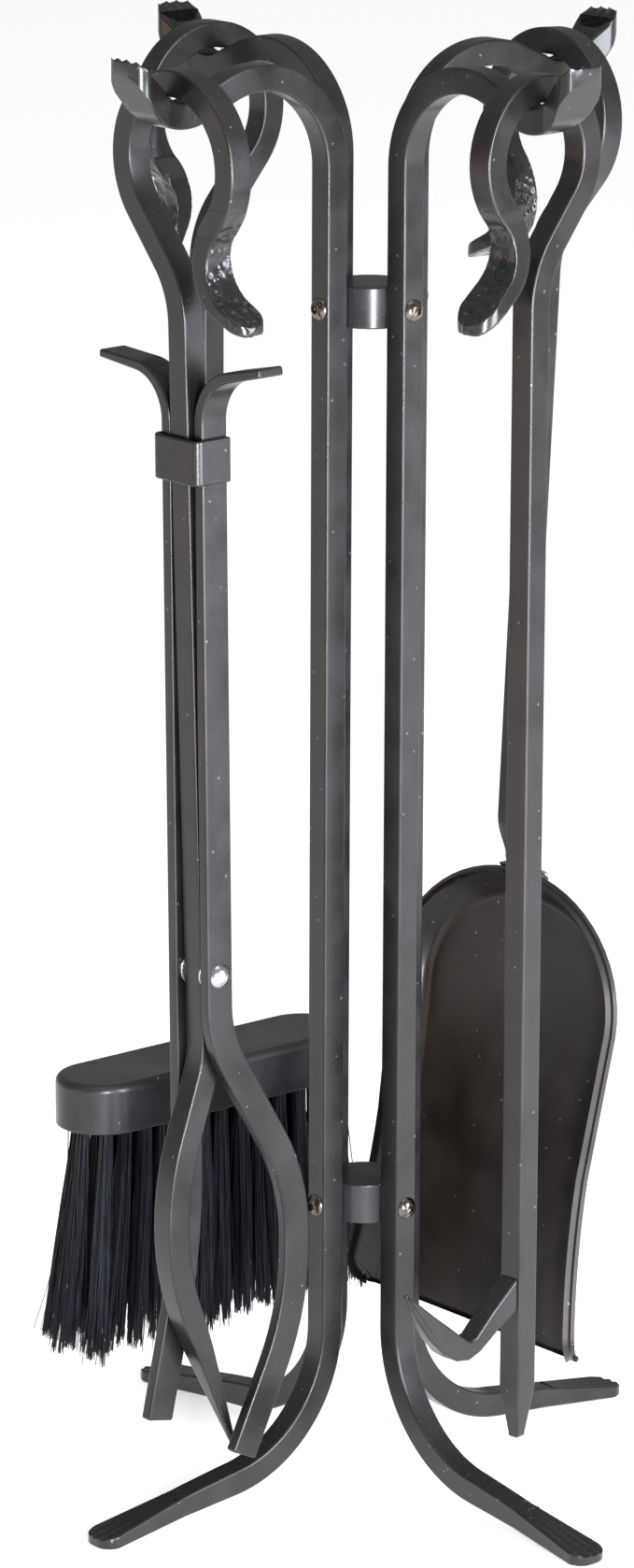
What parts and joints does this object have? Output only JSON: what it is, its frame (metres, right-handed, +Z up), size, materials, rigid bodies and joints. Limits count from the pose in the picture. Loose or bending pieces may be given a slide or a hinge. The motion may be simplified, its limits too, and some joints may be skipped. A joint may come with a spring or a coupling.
{
  "type": "fireplace tool set",
  "caption": "Four-legged square-bar stand whose hooks hold tongs, a poker, a shovel and a brush, each hung by a forged crook.",
  "frame": {"origin": "on the floor, on the stand's vertical axis between the four legs", "axes": "+Z up along the stand's axis; +X right and -Y towards the viewer, with the tongs' leg at front left and the legs at 45 degrees to X and Y"},
  "size_m": [0.2997, 0.3151, 0.7187],
  "materials": {
    "stand_bar": "satin graphite-black powder coat on forged square bar",
    "hub": "satin graphite-black powder coat on turned steel",
    "tool_bar": "satin graphite-black powder coat on forged square bar",
    "screw": "dark nickel plated button-head screw",
    "rivet": "bright zinc plated steel",
    "pan_sheet": "satin black powder coat on pressed sheet steel",
    "brush_block": "satin black coat on a moulded block",
    "bristle": "black synthetic fibre, tufted"
  },
  "bodies": {
    "stand": {"leg_front_left": "stand_bar", "leg_front_right": "stand_bar", "leg_back_right": "stand_bar", "leg_back_left": "stand_bar", "hub_upper": "hub", "hub_lower": "hub", "bolts_upper": "screw", "bolts_lower": "screw"},
    "tongs": {"tongs_shaft": "tool_bar"},
    "tongs_yoke": {"tongs_arm_near": "tool_bar", "tongs_arm_far": "tool_bar", "tongs_strap": "tool_bar", "tongs_rivet": "rivet", "tongs_washers": "rivet"},
    "poker": {"poker_shaft": "tool_bar", "poker_hook": "tool_bar"},
    "shovel": {"shovel_handle": "tool_bar", "shovel_pan": "pan_sheet", "shovel_rivets": "rivet"},
    "brush": {"brush_handle": "tool_bar", "brush_head": "brush_block", "brush_bristles": "bristle"}
  },
  "joints": [
    {"name": "tongs_lift", "type": "slide", "parent": "stand", "child": "tongs", "axis": [-0.4255, -0.4255, 0.7986], "range_m": [0, 0.08]},
    {"name": "tongs_pivot", "type": "hinge", "parent": "tongs", "child": "tongs_yoke", "pos_m": [-0.07286, -0.07498, 0.27822], "axis": [0.7071, -0.7071, 0], "range_deg": [0, 8]},
    {"name": "poker_lift", "type": "slide", "parent": "stand", "child": "poker", "axis": [0.4255, -0.4255, 0.7986], "range_m": [0, 0.08]},
    {"name": "shovel_lift", "type": "slide", "parent": "stand", "child": "shovel", "axis": [0.4255, 0.4255, 0.7986], "range_m": [0, 0.08]},
    {"name": "brush_lift", "type": "slide", "parent": "stand", "child": "brush", "axis": [-0.4255, 0.4255, 0.7986], "range_m": [0, 0.08]}
  ]
}
